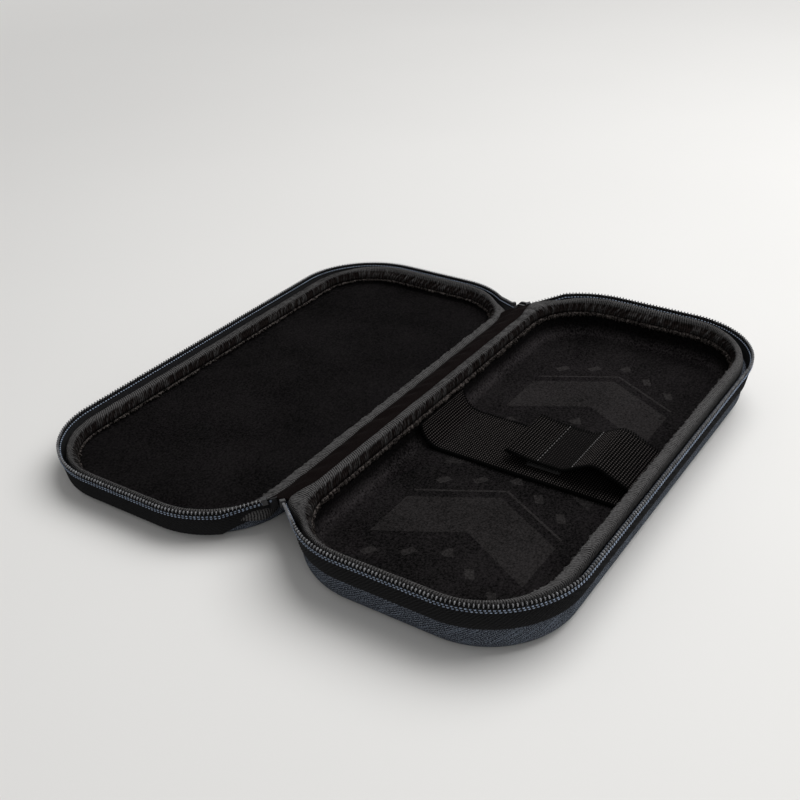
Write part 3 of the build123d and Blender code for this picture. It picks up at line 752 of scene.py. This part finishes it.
pressed_flat = node(tree, "ShaderNodeAttribute", {"attribute_name": "pressed"})
calm_share = node(tree, "ShaderNodeMath", {"operation": "MULTIPLY"}, {0: pressed_flat.outputs["Fac"], 1: 0.6})
calmed = node(tree, "ShaderNodeMix", {"data_type": "FLOAT"}, {
    0: calm_share, 2: ribbed, 3: 0.40})
woven = node(tree, "ShaderNodeMath", {"operation": "MULTIPLY_ADD"}, {
    0: lint, 1: 0.35, 2: calmed})
shades = node(tree, "ShaderNodeValToRGB", {
    "stops": [(0.28, "#000000"), (1.0, "#3f3b3a"), (0.66, "#0d0c0c")]}, {"Fac": woven})
# Painted shadow: both edges of the strap are darkened to near black.
edges = node(tree, "ShaderNodeAttribute", {"attribute_name": "selvage_shade"})
edge_shaded = node(tree, "ShaderNodeMix", {"data_type": "RGBA"}, {
    0: edges.outputs["Fac"], 6: shades, 7: linear("#010101")})
relief = node(tree, "ShaderNodeBump", {}, {"Height": woven, "Strength": 0.5, "Distance": 0.0003})
feed(shader, {
    "Base Color": edge_shaded.outputs[2], "Normal": relief, "Roughness": 0.75, "Specular IOR Level": 0.015})

strap_thickness, rib_depth, edge_taper, scallop_depth = 0.0014, 0.00026, 0.0012, 0.0009
selvage_width, columns = 0.0015, 32
long_strap = SimpleNamespace(
    name="strap_long", middle=-0.0010, width=0.0420, smooth=(1.0, 1.0),
    points=[(-0.0164, 0.0180), (-0.0164, 0.0069), (-0.1202, 0.0069)], radii=[0.0110],
)
short_strap = SimpleNamespace(
    name="strap_short", middle=0.0045, width=0.0380, smooth=(0.034, 0.053),
    points=[(-0.1252, 0.0102), (-0.1032, 0.0196), (-0.0887, 0.0115), (-0.0717, 0.0115), (-0.0592, 0.0133)],
    radii=[0.0080, 0.0080, 0.0300],
)
for strap in (long_strap, short_strap):
    even, line, up = bent_path(strap.points, strap.radii, 0.0002)
    side = np.concatenate([np.linspace(-1, 1, columns), np.linspace(1, -1, columns)])
    face = np.concatenate([np.full(columns, 1.0), np.full(columns, -1.0)])
    wave = -np.cos(2 * math.pi * even / (rib_pitch / 1000))
    pressed = (even > strap.smooth[0]) & (even < strap.smooth[1])
    ribs = rib_depth * np.where(pressed, 0.25, 1.0) * wave
    grid = []
    for across, top in zip(side, face):
        edge = min((1 - abs(across)) * strap.width / 2 / edge_taper, 1.0)
        height = top * (strap_thickness / 2 - rib_depth) * (0.35 + 0.65 * edge) + top * ribs * edge
        flat = line + height[:, None] * up
        scallops = scallop_depth * wave * (abs(across) > 0.999) * np.sign(across)
        x = strap.middle + across * strap.width / 2 + scallops
        grid.append(np.stack([np.broadcast_to(x, even.shape), flat[:, 0], flat[:, 1]], 1))
    grid = np.array(grid).transpose(1, 0, 2)
    width_along = np.concatenate([side, side[:1]]) * strap.width / 2
    piece = skin(
        f"{strap.name}_webbing", grid, width_along, np.append(even, even[-1]), closed_along=True
    )
    mark(piece, "pressed", np.repeat(pressed[:, None], len(side), 1))
    # Marks where the painted shadow along both edges goes.
    at_edge = abs(side) > 1 - 2 * selvage_width / strap.width
    mark(piece, "selvage_shade", np.repeat(at_edge[None], len(even), 0))
    piece.data.materials.append(webbing)
    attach(piece, "base")
    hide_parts(strap.name)

# Spun polyester thread: grey and matt.
pale_thread, tree, shader, place_mm = new_material("grey_thread", on_surface=False)
twist = node(tree, "ShaderNodeTexNoise", {}, {
    "Vector": place_mm, "Scale": 1.2, "Detail": 2.0, "Roughness": 0.6})
shades = node(tree, "ShaderNodeValToRGB", {
    "stops": [(0.3, "#232222"), (0.75, "#4a4848")]}, {"Fac": twist})
feed(shader, {"Base Color": shades, "Roughness": 0.6})

strap_rows = {"free_end": (0.0530, 0.0024, 0.0018), "hump": (0.0345, 0.0017, 0.0017)}
row_inset, row_start, thread_width, thread_height = 0.0016, 0.0005, 0.0007, 0.0006
for row, (distance, pitch, dash) in strap_rows.items():
    spot = int(np.searchsorted(even, distance))
    foot = line[spot] + up[spot] * (strap_thickness / 2)
    margin = strap.width / 2 - row_inset
    ends = np.array([[strap.middle + x, foot[0], foot[1]] for x in np.linspace(-margin, margin, 40)])
    stitches = repeat_along(f"strap_stitches_{row}", ends, pale_thread, {
        "Spacing": pitch, "Start": row_start, "End": 2 * margin - row_start,
        "Size": (dash, thread_width, thread_height), "Crease": 0.1})
    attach(stitches, "base")

# Hook-and-loop pair. Two short tapes of woven nylon face each other between the straps, one with hooks
# and one with loops, each sewn to its strap.

# Nylon hook tape: black, with a rough, dull face.
hook_tape, tree, shader, place_mm = new_material("nylon_hook_tape", on_surface=False)
loops = node(tree, "ShaderNodeTexVoronoi", {}, {"Vector": place_mm, "Scale": 1.1})
shades = node(tree, "ShaderNodeValToRGB", {
    "stops": [(0.0, "#1f1e1e"), (1.0, "#0a0a0a")]}, {"Fac": loops.outputs["Distance"]})
relief = node(tree, "ShaderNodeBump", {}, {
    "Height": loops.outputs["Distance"], "Strength": 0.8, "Distance": 0.0004})
feed(shader, {"Base Color": shades, "Normal": relief, "Roughness": 0.85})
for name in ("strap_loop_patch", "strap_hook_patch"):
    refinish(name, hook_tape)

# Hinge gusset. A strip of thin black cloth joins the two halves along the hinge. It is sewn under both
# rim rolls and lies over the hinge line in soft crumples. The mesh keeps this open shape and is not
# joined to the lid, so it does not fold as the lid closes.

# Thin polyester lining cloth: matt brown-black, hardly any sheen.
thin_cloth, tree, shader, place_mm = new_material("thin_lining_cloth")
warp = node(tree, "ShaderNodeTexNoise", {"noise_dimensions": "2D"}, {
    "Vector": place_mm, "Scale": 1.4, "Detail": 4.0, "Roughness": 0.7})
shades = node(tree, "ShaderNodeValToRGB", {
    "stops": [(0.3, "#040303"), (0.8, "#150f0e")]}, {"Fac": warp})
relief = node(tree, "ShaderNodeBump", {}, {"Height": warp, "Strength": 0.5, "Distance": 0.0003})
feed(shader, {"Base Color": shades, "Normal": relief, "Roughness": 0.9, "Specular IOR Level": 0.02})

gusset_length, gusset_thickness, crumple_depth, crumple_length = 0.2200, 0.0004, 0.0012, 0.007
seat_y, base_seat, lid_seat, gusset_sag = 0.0098, 0.0249, 0.0135, -0.0030
shares = np.linspace(0, 1, 22)
arc = np.stack([
    -seat_y + 2 * seat_y * shares,
    base_seat + (lid_seat - base_seat) * shares - 4 * gusset_sag * shares * (1 - shares),
], 1)
tangent = np.gradient(arc, axis=0)
tangent /= np.linalg.norm(tangent, axis=1)[:, None]
arc_up = np.stack([-tangent[:, 1], tangent[:, 0]], 1)
lengthwise = np.linspace(-gusset_length / 2, gusset_length / 2, 212)
past_corner = np.maximum(abs(lengthwise) - corner_x, 0.0)
flare = 1 + (zip_corner - np.sqrt(zip_corner**2 - past_corner**2)) / seat_y
faces = []
for top in (1, -1):
    sheet_rows = []
    for share, point, up_here in zip(shares, arc, arc_up):
        crumple = np.array([noise.noise(Vector((x / crumple_length, share * 2.2, 3.0))) for x in lengthwise])
        lift = crumple_depth * math.sin(math.pi * share) * crumple + top * gusset_thickness / 2
        y = point[0] * flare + lift * up_here[0]
        sheet_rows.append(np.stack([lengthwise, y, point[1] + lift * up_here[1]], 1))
    faces += sheet_rows[::top]
grid = np.array(faces).transpose(1, 0, 2)
gusset_across = np.concatenate([lengths(arc)[:-1], lengths(arc)[:-1][::-1], [0.0]])
gusset = skin(
    "hinge_gusset_cloth", grid, gusset_across, np.append(lengthwise, lengthwise[-1]), closed_along=True
)
gusset.data.materials.append(thin_cloth)
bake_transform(gusset)
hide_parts("hinge_gusset")

# Slider and pull. A die-cast slider in black enamel waits at the far end of the zip, and its pull tab
# hangs from the crown.

# Baked enamel on die-cast zinc: black, half gloss, duller where it is rubbed.
enamel, tree, shader, place_mm = new_material("black_enamel", on_surface=False)
rubbed = node(tree, "ShaderNodeTexNoise", {}, {
    "Vector": place_mm, "Scale": 0.5, "Detail": 3.0, "Roughness": 0.6})
shades = node(tree, "ShaderNodeValToRGB", {
    "stops": [(0.4, "#151515"), (0.8, "#2c2c2d")]}, {"Fac": rubbed})
wear = node(tree, "ShaderNodeMapRange", {}, {
    "Value": rubbed, "From Min": 0.3, "From Max": 0.8, "To Min": 0.3, "To Max": 0.55})
feed(shader, {"Base Color": shades, "Roughness": wear})
for name in ("zip_slider", "zip_pull"):
    refinish(name, enamel)

# Studio. A plain pale floor, a large soft light overhead, a weaker one from the camera's side, and a
# camera at the photograph's place and angle.


def looked_at(tree):
    """1 for rays from the camera and those that a piece mirrors or lets through, and 0 for all others."""
    rays = node(tree, "ShaderNodeLightPath").outputs
    most = rays["Is Camera Ray"]
    for kind in ("Is Glossy Ray", "Is Transmission Ray"):
        most = node(tree, "ShaderNodeMath", {"operation": "MAXIMUM"}, {0: most, 1: rays[kind]}).outputs[0]
    return most


# Seamless studio paper: matt, pale and faintly mottled. It pales away from the case like a lit backdrop.
paper, tree, shader, place_mm = new_material("pale_paper", on_surface=False)
mottle = node(tree, "ShaderNodeTexNoise", {}, {"Vector": place_mm, "Scale": 0.003, "Detail": 2.0})
shades = node(tree, "ShaderNodeValToRGB", {
    "stops": [(0.0, "#d6d5d3"), (1.0, "#dcdbd9")]}, {"Fac": mottle})
away = node(tree, "ShaderNodeVectorMath", {"operation": "LENGTH"}, {0: place_mm})
paleness = node(tree, "ShaderNodeMapRange", {"interpolation_type": "SMOOTHSTEP"}, {
    "Value": away.outputs["Value"], "From Min": 300.0, "From Max": 2400.0, "To Max": 0.75})
seen = node(tree, "ShaderNodeMath", {"operation": "MULTIPLY"}, {0: paleness, 1: looked_at(tree)})
feed(shader, {
    "Base Color": shades, "Roughness": 0.9, "Emission Color": linear("#dcdbd9"), "Emission Strength": seen})
floor_mesh = bpy.data.meshes.new("floor")
reach = 40.0
floor_mesh.from_pydata(
    [(-reach, -reach, 0), (reach, -reach, 0), (reach, reach, 0), (-reach, reach, 0)], [], [(0, 1, 2, 3)]
)
floor = bpy.data.objects.new("floor", floor_mesh)
bpy.context.scene.collection.objects.link(floor)
floor.data.materials.append(paper)

world = bpy.data.worlds.new("studio")
bpy.context.scene.world = world
world.use_nodes = True
tree = world.node_tree
brightness = node(tree, "ShaderNodeMapRange", {}, {
    "Value": looked_at(tree), "To Min": 0.30, "To Max": 0.82})
feed(tree.nodes["Background"], {"Color": linear("#f2f2f2"), "Strength": brightness})
lamps = {
    "overhead": ((0.45, -0.30, 1.05), (0.0, 0.0, 0.0), 1.2, 17.0),
    "camera_side": ((-0.95, -0.75, 0.75), (0.0, -0.05, 0.0), 0.7, 3.0),
}
for name, (spot, target, size, power) in lamps.items():
    lamp = bpy.data.lights.new(name, "AREA")
    lamp.size = size
    lamp.energy = power
    holder = bpy.data.objects.new(name, lamp)
    holder.location = spot
    holder.rotation_euler = (Vector(target) - Vector(spot)).to_track_quat("-Z", "Y").to_euler()
    bpy.context.scene.collection.objects.link(holder)

camera = bpy.data.objects.new("camera", bpy.data.cameras.new("camera"))
camera.data.sensor_width = 36.0
camera.data.lens = 51.0
camera.data.clip_start, camera.data.clip_end = 0.01, 100.0
forward = Vector((0.7135, 0.4860, -0.5047)).normalized()
right = Vector((0.5484, -0.8357, -0.0294))
right = (right - right.dot(forward) * forward).normalized()
above = right.cross(forward)
turn = Matrix((right, above, -forward)).transposed().to_4x4()
camera.matrix_world = Matrix.Translation((-0.41204, -0.27115, 0.30473)) @ turn
bpy.context.scene.collection.objects.link(camera)
bpy.context.scene.camera = camera
bpy.context.scene.view_settings.view_transform = "Standard"
